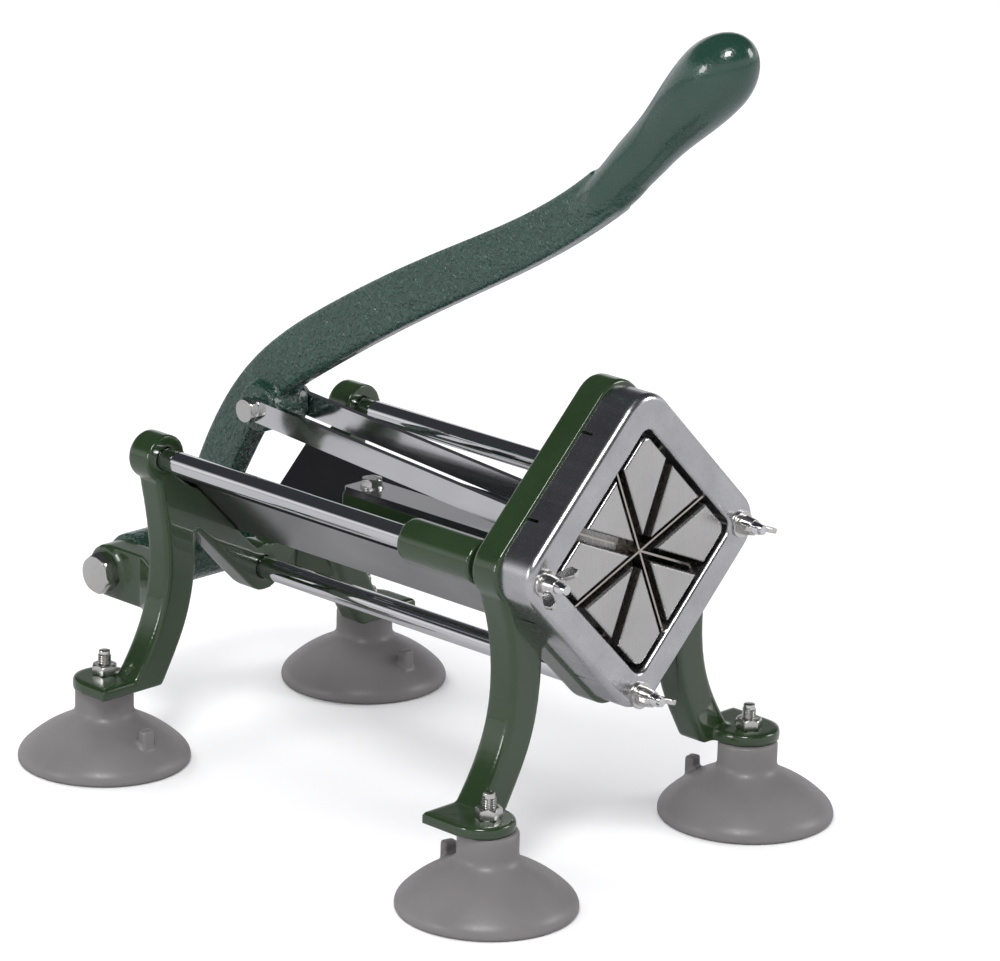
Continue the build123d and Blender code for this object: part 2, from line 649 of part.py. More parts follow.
# -------------------------------------------------------------------- trough
def make_trough_side():
    """Left trough plate, parallel to the opening's lower left side."""
    inner_low = CENTRE_Z - TROUGH_OFFSET * math.sqrt(2)
    outer_low = CENTRE_Z - TROUGH_OUTER * math.sqrt(2)
    slant = TROUGH_THICKNESS / math.sqrt(2)
    outline = make_face(
        Polyline(
            (-TROUGH_LOW_X, inner_low + TROUGH_LOW_X),
            (-TROUGH_HIGH_X, inner_low + TROUGH_HIGH_X),
            (-TROUGH_HIGH_X - slant, outer_low + TROUGH_HIGH_X + slant),
            (-TROUGH_LOW_X - slant, outer_low + TROUGH_LOW_X + slant),
            close=True,
        )
    )
    return slab(outline, PLATE_BACK_Y, REAR_BACK_Y + TROUGH_PAST_REAR)


# ---------------------------------------------------------------------- feet
def make_cup(x, y, tab_angle):
    """Suction cup about a foot screw, with a pull tab at an angle round it."""
    rim, neck, shoulder = CUP_R, CUP_NECK_R, CUP_SHOULDER_Z
    top = PAD_BOTTOM_Z
    lip = 2.6
    outside = Spline(
        (rim, lip),
        (0.91 * rim, 0.35 * shoulder),
        (0.75 * rim, 0.58 * shoulder),
        (0.56 * rim, 0.78 * shoulder),
        (neck + 0.9, shoulder),
        tangents=((-0.25, 1), (-0.5, 0.5)),
    )
    wall = [
        outside,
        Polyline((neck + 0.9, shoulder), (neck, shoulder + 1.8), (neck, top - 0.8), (neck - 0.8, top), (0, top)),
        Line((0, top), (0, 7.5)),
        Spline((0, 7.5), (0.5 * rim, 5.2), (rim - 3.4, 0), tangents=((1, 0), (1, -0.5))),
        Polyline((rim - 3.4, 0), (rim - 0.9, 0), (rim - 0.1, 0.7), (rim, lip)),
    ]
    cup = revolve(Plane.XZ * make_face(wall), Axis.Z)
    tab = layer(Pos(0.72 * rim, 0) * RectangleRounded(TAB_THICKNESS, TAB_WIDTH, 1.2), 6.0, TAB_TOP_Z)
    tab = fillet(ring_edges(tab, Axis.Z, TAB_TOP_Z), 0.8)
    cup += tab.rotate(Axis.Z, tab_angle)
    cup -= bar_z(FOOT_SCREW_D / 2, 0, 0, shoulder - 2, top + 1)
    return cup.translate(Vector(x, y, 0))


def foot_places():
    """Names and (x, y) of the four feet, with the angle of each pull tab."""
    return {
        "front_left": (-FOOT_X, FRONT_FOOT_Y, 80),
        "front_right": (FOOT_X, FRONT_FOOT_Y, 100),
        "rear_left": (-FOOT_X, REAR_FOOT_Y, 270),
        "rear_right": (FOOT_X, REAR_FOOT_Y, 270),
    }


def make_foot_screws():
    """Threaded studs moulded into the cups."""
    group = []
    for x, y, _ in foot_places().values():
        stud = bar_z(FOOT_SCREW_D / 2, x, y, CUP_SHOULDER_Z - 2, FOOT_SCREW_TOP_Z)
        group.append(chamfer(ring_edges(stud, Axis.Z, FOOT_SCREW_TOP_Z), 0.7))
    return group


def make_foot_nuts():
    """Hex nuts on the four pads."""
    group = []
    for number, (x, y, _) in enumerate(foot_places().values()):
        outline = Pos(x, y) * Rot(0, 0, 17 * number + 8) * hexagon(FOOT_NUT_FLATS)
        nut = layer(outline, PAD_TOP_Z, PAD_TOP_Z + FOOT_NUT_HEIGHT)
        group.append(nut - bar_z(FOOT_SCREW_D / 2 + SEAT, x, y, PAD_TOP_Z - 1, PAD_TOP_Z + FOOT_NUT_HEIGHT + 1))
    return group


# ------------------------------------------------------------------ assembly
def build_all():
    """Every node's list of solids, in the modelling frame."""
    nodes = {
        "front_casting": [make_front_casting()],
        "rear_casting": [make_rear_casting()],
        "blade_frame": [make_blade_frame()],
        "wing_nut_washers": make_washers(),
        "lever": [make_lever()],
        "pusher_carriage": [make_carriage()],
        "pusher_head": [make_head()],
        "head_screws": make_head_screws(),
        "carriage_strap": [make_strap()],
        "strap_bolt": [make_strap_bolt()],
        "foot_screws": make_foot_screws(),
        "foot_nuts": make_foot_nuts(),
    }
    for name, blade in make_blades().items():
        nodes[name] = [blade]
    for side, (x, z) in ROD_PLACES.items():
        nodes[f"tie_rod_{side}"] = [make_rod(x, z)]
        nodes[f"wing_nut_{side}"] = [make_wing_nut(x, z, WING_TURNS[side])]
    left_link = make_link()
    left_trough = make_trough_side()
    nodes["link_left"] = [left_link]
    nodes["link_right"] = [mirrored(left_link)]
    nodes["trough_left"] = [left_trough]
    nodes["trough_right"] = [mirrored(left_trough)]
    link_tip = LINK_OUTER_X + LINK_NUT_HEIGHT + 0.8
    for name, centre in (("crank", CRANK_PIN), ("pusher", PUSHER_PIN)):
        nodes[f"{name}_bolt"] = [bolt_along_x(LINK_BOLT_D, 10, 4.2, centre, -LINK_OUTER_X, link_tip, 10)]
        nodes[f"{name}_nut"] = [nut_along_x(LINK_BOLT_D, 10, LINK_NUT_HEIGHT, centre, LINK_OUTER_X, 20)]
    yoke_face = YOKE_OUTER_X + 1.2
    nodes["pivot_bolt"] = [bolt_along_x(PIVOT_BOLT_D, 16, 6.4, PIVOT, -yoke_face, yoke_face + 10.5, 12)]
    nodes["pivot_nut"] = [nut_along_x(PIVOT_BOLT_D, 16, 8, PIVOT, yoke_face, 5)]
    for name, (x, y, tab_angle) in foot_places().items():
        nodes[f"suction_cup_{name}"] = [make_cup(x, y, tab_angle)]
    return nodes


def main():
    """Build every node, move the origin to the bottom centre and write the files."""
    os.makedirs("parts", exist_ok=True)
    nodes = build_all()
    lows = [s.bounding_box().min for group in nodes.values() for s in group]
    highs = [s.bounding_box().max for group in nodes.values() for s in group]
    middle_y = (min(p.Y for p in lows) + max(p.Y for p in highs)) / 2
    bottom_z = min(p.Z for p in lows)
    shift = Vector(0, -middle_y, -bottom_z)
    print(f"origin shift: {shift.X:.3f} {shift.Y:.3f} {shift.Z:.3f}")
    for name, group in nodes.items():
        solids = [solid for piece in group for solid in piece.translate(shift).solids()]
        shape = solids[0] if len(solids) == 1 else Compound(solids)
        export_step(shape, f"parts/{name}.step")


if __name__ == "__main__":
    main()
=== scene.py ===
"""Looks of a lever-driven vegetable wedge cutter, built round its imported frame.

The castings are recast from their frame solids with soft foundry fillets, the
fasteners get real hexagons and threads, the feet are moulded cups, and each
finish is a procedural material.  Sizes are in metres.
"""
import logging
import math
from dataclasses import dataclass
from enum import Enum

import bpy
from bpy.types import Material, Node, NodeSocket, Object
from mathutils import Matrix, Vector


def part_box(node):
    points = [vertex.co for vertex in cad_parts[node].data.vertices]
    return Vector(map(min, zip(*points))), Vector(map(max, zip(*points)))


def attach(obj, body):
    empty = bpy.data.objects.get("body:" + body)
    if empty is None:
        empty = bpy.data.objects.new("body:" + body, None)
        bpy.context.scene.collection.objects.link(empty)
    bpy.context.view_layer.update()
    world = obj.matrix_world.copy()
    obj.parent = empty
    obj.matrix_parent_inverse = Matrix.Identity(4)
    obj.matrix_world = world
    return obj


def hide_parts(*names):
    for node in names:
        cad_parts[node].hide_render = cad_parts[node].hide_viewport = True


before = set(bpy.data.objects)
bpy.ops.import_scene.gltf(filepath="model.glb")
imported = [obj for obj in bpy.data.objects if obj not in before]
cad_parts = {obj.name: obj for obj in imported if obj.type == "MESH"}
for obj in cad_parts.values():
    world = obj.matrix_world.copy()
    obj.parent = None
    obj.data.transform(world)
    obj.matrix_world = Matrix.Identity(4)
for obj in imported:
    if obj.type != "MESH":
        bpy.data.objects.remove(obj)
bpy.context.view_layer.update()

LOG = logging.getLogger("wedge_cutter")
MM = 0.001
MERGE_DISTANCE = 0.00001    # corners closer than this are one corner
COAT_ROUGHNESS = 0.04
CLOUD_RANGE = (0.35, 0.68)  # values of the cloud noise that span its two colours
NOISE_RANGE = (0.3, 0.7)    # values that most of a noise lies between
THREAD_DEPTH = 0.5          # depth of a bolt's thread, in pitches
NUT_TURN = 12               # turn of a bolt's nut past its head, degrees


# ------------------------------------------------------------------ shading
class Body(Enum):
    """Bodies of the frame that pieces ride on."""

    FRAME = "frame"
    LEVER = "lever"
    LINKS = "links"
    PUSHER = "pusher"
    WING_LEFT = "wing_nut_left"
    WING_RIGHT = "wing_nut_right"
    WING_BOTTOM = "wing_nut_bottom"


class Axis(Enum):
    """Axes that a grain can run along, each with the turn that brings it onto X."""

    X = (0.0, 0.0, 0.0)
    Y = (0.0, 0.0, -math.pi / 2)
    Z = (0.0, math.pi / 2, 0.0)


class NodeTree:
    """Short way of adding and joining nodes in one shader tree."""

    def __init__(self, tree: bpy.types.NodeTree) -> None:
        """Keeps the tree that nodes are added to.

        Args:
            tree: the material's, group's or world's node tree.
        """
        self.tree = tree

    def add(self, kind: str, inputs: dict | None = None, **settings: object) -> Node:
        """Adds a node.

        Args:
            kind: node type without its ShaderNode prefix.
            inputs: socket name or number to a value or to another node's output.
            settings: properties of the node itself.

        Returns:
            The new node.
        """
        node = self.tree.nodes.new("ShaderNode" + kind)
        for name, value in settings.items():
            setattr(node, name, value)
        for name, value in (inputs or {}).items():
            if isinstance(value, NodeSocket):
                self.join(value, node.inputs[name])
            else:
                node.inputs[name].default_value = value
        return node

    def join(self, output: NodeSocket, socket: NodeSocket) -> None:
        """Joins an output to an input."""
        self.tree.links.new(output, socket)

    def math(
        self, operation: str, first: object, second: object = 0.5, clamp: bool = False
    ) -> NodeSocket:
        """Adds a Math node and returns its output."""
        node = self.add("Math", {0: first, 1: second}, operation=operation, use_clamp=clamp)
        return node.outputs[0]

    def mix(self, factor: object, low: object, high: object) -> NodeSocket:
        """Adds a colour mix and returns its output."""
        return self.add("Mix", {0: factor, 6: low, 7: high}, data_type="RGBA").outputs[2]

    def ramp(self, factor: NodeSocket, low: float, high: float) -> NodeSocket:
        """Maps a range of a value to 0..1 and returns the clamped output."""
        ends = {"Value": factor, "From Min": low, "From Max": high}
        return self.add("MapRange", ends, clamp=True).outputs[0]

    def group(
        self, tree: bpy.types.NodeTree, vector: NodeSocket, values: dict[str, float]
    ) -> Node:
        """Places a node group.

        Args:
            tree: the group.
            vector: coordinates that it reads.
            values: input name to this use's own value.

        Returns:
            The group's node.
        """
        return self.add("Group", {"Vector": vector, **values}, node_tree=tree)


def new_group(
    name: str, inputs: dict[str, float], outputs: tuple[str, ...]
) -> tuple[NodeTree, Node, Node]:
    """Starts a shader node group with a vector input, float inputs and float outputs.

    Args:
        name: the group's name.
        inputs: input name to its default value.
        outputs: names of the outputs.

    Returns:
        A helper for the group's tree, its input node and its output node.
    """
    tree = bpy.data.node_groups.new(name, "ShaderNodeTree")
    sockets = tree.interface
    sockets.new_socket(name="Vector", in_out="INPUT", socket_type="NodeSocketVector")
    for label, value in inputs.items():
        socket = sockets.new_socket(name=label, in_out="INPUT", socket_type="NodeSocketFloat")
        socket.default_value = value
    for label in outputs:
        sockets.new_socket(name=label, in_out="OUTPUT", socket_type="NodeSocketFloat")
    return NodeTree(tree), tree.nodes.new("NodeGroupInput"), tree.nodes.new("NodeGroupOutput")


class SharedEffects:
    """Node groups that more than one finish uses, each built once."""

    def __init__(self) -> None:
        """Builds the groups."""
        self.mottle = self._mottle()
        self.scratches = self._scratches()
        self.hammer = self._hammer()

    @staticmethod
    def _mottle() -> bpy.types.NodeTree:
        """Large and small cloudy variation, as in paint thickness and handling marks."""
        sizes = {"Coarse": 30.0, "Fine": 400.0}
        nodes, start, end = new_group("Mottle", sizes, ("Cloud", "Grit"))
        for size, detail, label in (("Coarse", 5.0, "Cloud"), ("Fine", 3.0, "Grit")):
            scale = {"Vector": start.outputs["Vector"], "Scale": start.outputs[size]}
            noise = nodes.add("TexNoise", {**scale, "Detail": detail})
            nodes.join(noise.outputs[0], end.inputs[label])
        return nodes.tree

    @staticmethod
    def _scratches() -> bpy.types.NodeTree:
        """Rubbing marks and long brushed lines along X of the input."""
        sizes = {"Density": 900.0, "Stretch": 0.03}
        nodes, start, end = new_group("Scratches", sizes, ("Lines", "Marks"))
        vector = start.outputs["Vector"]
        along = nodes.add("CombineXYZ", {0: start.outputs["Stretch"], 1: 1.0, 2: 1.0})
        stretched = nodes.add(
            "VectorMath", {0: vector, 1: along.outputs[0]}, operation="MULTIPLY"
        )
        density = {"Vector": stretched.outputs[0], "Scale": start.outputs["Density"]}
        lines = nodes.add("TexNoise", {**density, "Detail": 4.0})
        bands = {"Scale": 520.0, "Distortion": 22.0, "Detail": 2.0, "Detail Scale": 0.25}
        wave = nodes.add("TexWave", {"Vector": vector, **bands}, bands_direction="DIAGONAL")
        thin = nodes.ramp(wave.outputs[1], 0.975, 1.0)
        patch = nodes.add("TexNoise", {"Vector": vector, "Scale": 260.0, "Detail": 2.0})
        marks = nodes.math("MULTIPLY", thin, nodes.ramp(patch.outputs[0], 0.52, 0.66))
        nodes.join(lines.outputs[0], end.inputs["Lines"])
        nodes.join(marks, end.inputs["Marks"])
        return nodes.tree

    @staticmethod
    def _hammer() -> bpy.types.NodeTree:
        """Pools and ridges of hammer-finish enamel."""
        nodes, start, end = new_group("Hammer", {"Cells": 420.0}, ("Height", "Ridge"))
        vector = start.outputs["Vector"]
        wobble = nodes.add("TexNoise", {"Vector": vector, "Scale": 260.0, "Detail": 2.0})
        centred = nodes.add(
            "VectorMath", {0: wobble.outputs[1], 1: (0.5, 0.5, 0.5)}, operation="SUBTRACT"
        )
        bent = nodes.add("VectorMath", {0: centred.outputs[0], "Scale": 0.006}, operation="SCALE")
        moved = nodes.add("VectorMath", {0: vector, 1: bent.outputs[0]}, operation="ADD")
        cells = nodes.add(
            "TexVoronoi",
            {"Vector": moved.outputs[0], "Scale": start.outputs["Cells"]},
            feature="SMOOTH_F1",
        )
        nodes.join(nodes.ramp(cells.outputs[0], 0.05, 0.75), end.inputs["Height"])
        nodes.join(nodes.ramp(cells.outputs[0], 0.45, 0.8), end.inputs["Ridge"])
        return nodes.tree


@dataclass(frozen=True)
class Finish:
    """A finish: clouds in its colour, grit in its roughness and relief.

    Attributes:
        name: material name.
        color: base colour, linear red, green and blue.
        second: colour of its clouds.
        cloud: how much of the second colour shows.
        metallic: 0 for paint and rubber, 1 for bare metal.
        roughness: lowest roughness of the clean surface.
        roughness_spread: added by grit and marks.
        coat: weight of a clear glossy coat.
        bump: height of the relief, metres.
        coarse: scale of the clouds.
        fine: scale of the grit.
    """

    name: str
    color: tuple[float, float, float]
    second: tuple[float, float, float]
    cloud: float = 0.35
    metallic: float = 0.0
    roughness: float = 0.3
    roughness_spread: float = 0.15
    coat: float = 0.0
    bump: float = 0.00003
    coarse: float = 35.0
    fine: float = 700.0

    def build(self, effects: SharedEffects) -> Material:
        """Makes the material.

        Args:
            effects: the shared node groups.

        Returns:
            The material.
        """
        material = bpy.data.materials.new(self.name)
        material.use_nodes = True
        material.diffuse_color = (*self.color, 1.0)
        nodes = NodeTree(material.node_tree)
        shader = material.node_tree.nodes["Principled BSDF"]
        shader.inputs["Metallic"].default_value = self.metallic
        shader.inputs["Coat Weight"].default_value = self.coat
        shader.inputs["Coat Roughness"].default_value = COAT_ROUGHNESS
        place = nodes.add("TexCoord").outputs["Object"]
        cloud = nodes.group(effects.mottle, place, {"Coarse": self.coarse, "Fine": self.fine})
        color, roughness, height = self.surface(nodes, effects, place, cloud)
        relief = nodes.add("Bump", {"Height": height, "Distance": self.bump, "Strength": 1.0})
        nodes.join(color, shader.inputs["Base Color"])
        nodes.join(roughness, shader.inputs["Roughness"])
        nodes.join(relief.outputs[0], shader.inputs["Normal"])
        return material

    def surface(
        self, nodes: NodeTree, effects: SharedEffects, place: NodeSocket, cloud: Node
    ) -> tuple[NodeSocket, NodeSocket, NodeSocket]:
        """Works out what changes over the surface.

        Args:
            nodes: the material's tree.
            effects: the shared node groups.
            place: Object coordinates.
            cloud: the cloud group's node.

        Returns:
            The colour, the roughness and the height of the relief.
        """
        grit = cloud.outputs["Grit"]
        return self.clouded(nodes, cloud), self.spread(nodes, grit, *NOISE_RANGE), grit

    def clouded(self, nodes: NodeTree, cloud: Node) -> NodeSocket:
        """Mixes the two colours by the clouds."""
        shape = nodes.ramp(cloud.outputs["Cloud"], *CLOUD_RANGE)
        tint = nodes.math("MULTIPLY", shape, self.cloud)
        return nodes.mix(tint, (*self.color, 1.0), (*self.second, 1.0))

    def spread(
        self, nodes: NodeTree, value: NodeSocket, low: float = 0.0, high: float = 1.0
    ) -> NodeSocket:
        """Maps a range of a value to the range of the roughness.

        Args:
            nodes: the material's tree.
            value: what the roughness follows.
            low: value of the smoothest surface.
            high: value of the roughest surface.

        Returns:
            The roughness.
        """
        ends = {"To Min": self.roughness, "To Max": self.roughness + self.roughness_spread}
        source = {"Value": value, "From Min": low, "From Max": high}
        return nodes.add("MapRange", {**source, **ends}).outputs[0]


@dataclass(frozen=True)
class HammerFinish(Finish):
    """Hammer-finish enamel: pooled cells with lighter ridges under a gloss.

    Attributes:
        cells: scale of the cells.
        ridge: colour of the ridges.
        ridge_share: how much of that colour shows.
        grit_share: height of the grit beside the cells' height.
        grip: start of the smooth grip below the lever's top.
        fade: how far above and below that start the cells fade out.
    """

    cells: float = 520.0
    ridge: tuple[float, float, float] = (0.030, 0.085, 0.062)
    ridge_share: float = 0.55
    grit_share: float = 0.22
    grip: float = 0.085
    fade: tuple[float, float] = (0.014, 0.004)

    def surface(
        self, nodes: NodeTree, effects: SharedEffects, place: NodeSocket, cloud: Node
    ) -> tuple[NodeSocket, NodeSocket, NodeSocket]:
        """Works out the pooled relief, which fades out on the grip.

        Args:
            nodes: the material's tree.
            effects: the shared node groups.
            place: Object coordinates.
            cloud: the cloud group's node.

        Returns:
            The colour, the roughness and the height of the relief.
        """
        hammer = nodes.group(effects.hammer, place, {"Cells": self.cells})
        up = nodes.add("SeparateXYZ", {0: place}).outputs["Z"]
        grip_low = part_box("lever")[1][2] - self.grip
        arm = nodes.ramp(up, grip_low + self.fade[0], grip_low - self.fade[1])
        cells = nodes.math("MULTIPLY", hammer.outputs["Height"], arm)
        grit = nodes.math("MULTIPLY", cloud.outputs["Grit"], self.grit_share)
        ridges = nodes.math("MULTIPLY", hammer.outputs["Ridge"], arm)
        share = nodes.math("MULTIPLY", ridges, self.ridge_share)
        color = nodes.mix(share, self.clouded(nodes, cloud), (*self.ridge, 1.0))
        roughness = self.spread(nodes, hammer.outputs["Ridge"])
        return color, roughness, nodes.math("ADD", cells, grit)


@dataclass(frozen=True)
class WorkedMetal(Finish):
    """Bare metal with brushed lines along one axis and rubbing marks.

    Attributes:
        grain: axis that the lines run along.
        lines: strength of the brushed lines, 0 to 1.
        density: how fine the lines are.
        marks: strength of the rubbing marks, 0 to 1.
        line_share: how much the lines darken the colour.
        line_tone: colour of the lines beside the base colour's.
    """

    metallic: float = 1.0
    grain: Axis = Axis.Y
    lines: float = 0.5
    density: float = 900.0
    marks: float = 0.6
    line_share: float = 0.25
    line_tone: float = 0.55

    def surface(
        self, nodes: NodeTree, effects: SharedEffects, place: NodeSocket, cloud: Node
    ) -> tuple[NodeSocket, NodeSocket, NodeSocket]:
        """Works out the brushed lines and the marks.

        Args:
            nodes: the material's tree.
            effects: the shared node groups.
            place: Object coordinates.
            cloud: the cloud group's node.

        Returns:
            The colour, the roughness and the height of the relief.
        """
        along = nodes.add("Mapping", {"Vector": place, "Rotation": self.grain.value})
        wear = nodes.group(effects.scratches, along.outputs[0], {"Density": self.density})
        line = nodes.ramp(wear.outputs["Lines"], *NOISE_RANGE)
        dark = (*(self.line_tone * part for part in self.color), 1.0)
        shade = nodes.math("MULTIPLY", line, self.lines * self.line_share)
        color = nodes.mix(shade, self.clouded(nodes, cloud), dark)
        brushed = nodes.math("MULTIPLY", line, self.lines)
        mark = nodes.math("MULTIPLY", wear.outputs["Marks"], self.marks)
        roughness = self.spread(nodes, nodes.math("ADD", brushed, mark, clamp=True))
        return color, roughness, nodes.math("SUBTRACT", brushed, mark)


FINISHES = (
    Finish(
        "green_enamel", (0.014, 0.031, 0.010), (0.022, 0.044, 0.016), cloud=0.5,
        roughness=0.20, roughness_spread=0.06, coat=0.7, bump=0.000025, coarse=40.0, fine=240.0,
    ),
    HammerFinish(
        "hammer_enamel", (0.009, 0.036, 0.025), (0.015, 0.050, 0.035), cloud=0.5,
        roughness=0.22, roughness_spread=0.14, coat=0.6, bump=0.00085, coarse=45.0, fine=600.0,
    ),
    WorkedMetal(
        "polished_aluminium", (0.60, 0.60, 0.61), (0.46, 0.46, 0.48), cloud=0.7, coarse=60.0,
        roughness=0.24, roughness_spread=0.14, bump=0.000002, lines=0.30, density=500.0,
        marks=0.8,
    ),
    WorkedMetal(
        "milled_aluminium", (0.60, 0.59, 0.58), (0.50, 0.49, 0.48), cloud=0.6, grain=Axis.Z,
        roughness=0.26, roughness_spread=0.12, bump=0.000002, lines=0.2, density=500.0,
        marks=0.4,
    ),
    WorkedMetal(
        "chrome", (0.78, 0.78, 0.80), (0.70, 0.70, 0.73), cloud=0.3,
        roughness=0.045, roughness_spread=0.08, bump=0.000001, lines=0.15, density=700.0,
        marks=0.5,
    ),
    WorkedMetal(
        "link_steel", (0.74, 0.74, 0.75), (0.62, 0.62, 0.64), cloud=0.5,
        roughness=0.09, roughness_spread=0.12, bump=0.0000012, lines=0.3, density=700.0,
        marks=0.6,
    ),
    WorkedMetal(
        "zinc_plate", (0.70, 0.69, 0.67), (0.56, 0.55, 0.52), cloud=0.6,
        roughness=0.22, roughness_spread=0.18, bump=0.000004, lines=0.2, density=700.0,
        marks=0.7,
    ),
    WorkedMetal(
        "blade_steel", (0.55, 0.51, 0.46), (0.42, 0.38, 0.34), cloud=0.5, grain=Axis.Z,
        roughness=0.16, roughness_spread=0.2, bump=0.000004, lines=0.3, density=900.0,
        marks=0.6,
    ),
    WorkedMetal(
        "trough_sheet", (0.36, 0.355, 0.36), (0.26, 0.255, 0.26), cloud=0.5,
        roughness=0.16, roughness_spread=0.14, bump=0.0000012, lines=0.3, density=600.0,
        marks=0.5,
    ),
    Finish(
        "cup_rubber", (0.150, 0.142, 0.143), (0.180, 0.170, 0.170), cloud=0.6,
        roughness=0.34, roughness_spread=0.12, bump=0.00002, coarse=45.0, fine=700.0,
    ),
)


# ----------------------------------------------------------------- modelling
class Workshop:
    """Modelling steps that every piece shares."""

    @staticmethod
    def deselect() -> None:
        """Leaves nothing selected, in object mode."""
        if bpy.context.object and bpy.context.object.mode != "OBJECT":
            bpy.ops.object.mode_set(mode="OBJECT")
        bpy.ops.object.select_all(action="DESELECT")

    @classmethod
    def pick(cls, *pieces: Object) -> None:
        """Selects only these pieces and makes the first active."""
        cls.deselect()
        for piece in pieces:
            piece.select_set(True)
        bpy.context.view_layer.objects.active = pieces[0]

    @classmethod
    def settle(cls, piece: Object) -> Object:
        """Moves a piece's place into its mesh, so its object is at the origin."""
        cls.pick(piece)
        bpy.ops.object.transform_apply(location=True, rotation=True, scale=True)
        return piece

    @classmethod
    def rod(
        cls, name: str, radius: float, start: Vector, end: Vector, sides: int = 96
    ) -> Object:
        """Round bar between two points.

        Args:
            name: the piece's name.
            radius: bar radius.
            start: middle of its first end.
            end: middle of its last end.
            sides: facets round it.

        Returns:
            The bar, settled.
        """
        cls.deselect()
        direction = end - start
        turn = direction.to_track_quat("Z", "Y").to_euler()
        bpy.ops.mesh.primitive_cylinder_add(
            vertices=sides, radius=radius, depth=direction.length,
            location=(start + end) / 2, rotation=turn,
        )
        piece = bpy.context.object
        piece.name = name
        return cls.settle(piece)

    @classmethod
    def copy_node(cls, node: str, name: str) -> Object:
        """Copy of a frame node with its doubled corners merged.

        Args:
            node: the frame node.
            name: the copy's name.

        Returns:
            The copy, with its own mesh.
        """
        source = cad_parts[node]
        piece = source.copy()
        piece.data = source.data.copy()
        piece.name = name
        piece.parent = None
        piece.matrix_world = source.matrix_world.copy()
        piece.modifiers.clear()
        piece.hide_render = False
        bpy.context.scene.collection.objects.link(piece)
        piece.hide_set(False)
        cls.settle(piece)
        bpy.ops.object.mode_set(mode="EDIT")
        bpy.ops.mesh.select_all(action="SELECT")
        bpy.ops.mesh.remove_doubles(threshold=MERGE_DISTANCE)
        bpy.ops.object.mode_set(mode="OBJECT")
        return piece

    @classmethod
    def apply(cls, piece: Object, kind: str, **settings: object) -> None:
        """Adds a modifier and applies it.

        Args:
            piece: the piece to change.
            kind: modifier type.
            settings: the modifier's properties.
        """
        cls.pick(piece)
        modifier = piece.modifiers.new(kind.lower(), kind)
        for name, value in settings.items():
            setattr(modifier, name, value)
        bpy.ops.object.modifier_apply(modifier=modifier.name)

    @classmethod
    def bevel(cls, piece: Object, width: float, segments: int, angle: float = 60.0) -> None:
        """Bevels the edges sharper than an angle in degrees."""
        cls.apply(piece, "BEVEL", width=width, segments=segments, limit_method="ANGLE",
                  angle_limit=math.radians(angle))

    @classmethod
    def cut(cls, piece: Object, tool: Object, operation: str = "DIFFERENCE") -> None:
        """Boolean of a piece with a tool, which is then removed."""
        cls.apply(piece, "BOOLEAN", object=tool, operation=operation, solver="EXACT")
        bpy.data.objects.remove(tool, do_unlink=True)

    @classmethod
    def join(cls, name: str, pieces: list[Object]) -> Object:
        """Joins pieces into one object under a name."""
        cls.pick(*pieces)
        bpy.ops.object.join()
        bpy.context.object.name = name
        return bpy.context.object

    @classmethod
    def place(cls, piece: Object, start: Vector, end: Vector, turn: float = 0.0) -> Object:
        """Moves a piece modelled along +Z from the origin onto a line.

        Args:
            piece: the piece.
            start: where its origin goes.
            end: a point that its +Z points at.
            turn: turn about its own axis, degrees.

        Returns:
            The piece, settled.
        """
        aim = (end - start).to_track_quat("Z", "Y").to_matrix().to_4x4()
        spin = Matrix.Rotation(math.radians(turn), 4, "Z")
        piece.matrix_world = Matrix.Translation(start) @ aim @ spin
        return cls.settle(piece)

    @classmethod
    def twin(cls, piece: Object, place: Vector, turn: float) -> Object:
        """Copy of an upright piece with its own mesh.

        Args:
            piece: the piece to copy.
            place: how far the copy is moved.
            turn: turn about its own axis, degrees.

        Returns:
            The copy, settled.
        """
        copy = piece.copy()
        copy.data = piece.data.copy()
        bpy.context.scene.collection.objects.link(copy)
        spin = Matrix.Rotation(math.radians(turn), 4, "Z")
        copy.matrix_world = Matrix.Translation(place) @ spin
        return cls.settle(copy)

    @classmethod
    def smooth(cls, piece: Object, angle: float = 35.0) -> None:
        """Smooth shading with edges kept sharp past an angle in degrees."""
        cls.pick(piece)
        bpy.ops.object.shade_smooth_by_angle(angle=math.radians(angle))

    @classmethod
    def dress(cls, piece: Object, material: Material, body: Body, slot: str) -> Object:
        """Gives a piece its material and its body."""
        piece.data.materials.clear()
        piece.data.materials.append(material)
        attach(piece, body.value)
        LOG.info("%s rides on %s", piece.name, body.value)
        return piece


@dataclass
class Casting:
    """A casting: a frame solid recast with foundry fillets where its faces meet.

    Attributes:
        node: frame node that it stands for.
        body: body that it rides on.
        finish: name of its finish.
        slot: record slot.
        grain: size of the recast mesh.
        rounds: smoothing passes, which set the fillets' size.
    """

    node: str
    body: Body
    finish: str
    slot: str
    grain: float = 1.1 * MM
    rounds: int = 6

    def fill(self, piece: Object) -> Object:
        """Adds metal to the copy before it is recast; a plain casting needs none."""
        return piece

    def make(self, materials: dict[str, Material]) -> Object:
        """Recasts the node.

        Args:
            materials: finishes by name.

        Returns:
            The casting.
        """
        piece = self.fill(Workshop.copy_node(self.node, self.node + "_cast"))
        Workshop.apply(piece, "REMESH", mode="VOXEL", voxel_size=self.grain,
                       use_smooth_shade=True)
        Workshop.apply(piece, "SMOOTH", factor=0.5, iterations=self.rounds)
        Workshop.pick(piece)
        bpy.ops.object.shade_smooth()
        Workshop.dress(piece, materials[self.finish], self.body, self.slot)
        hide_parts(self.node)
        return piece


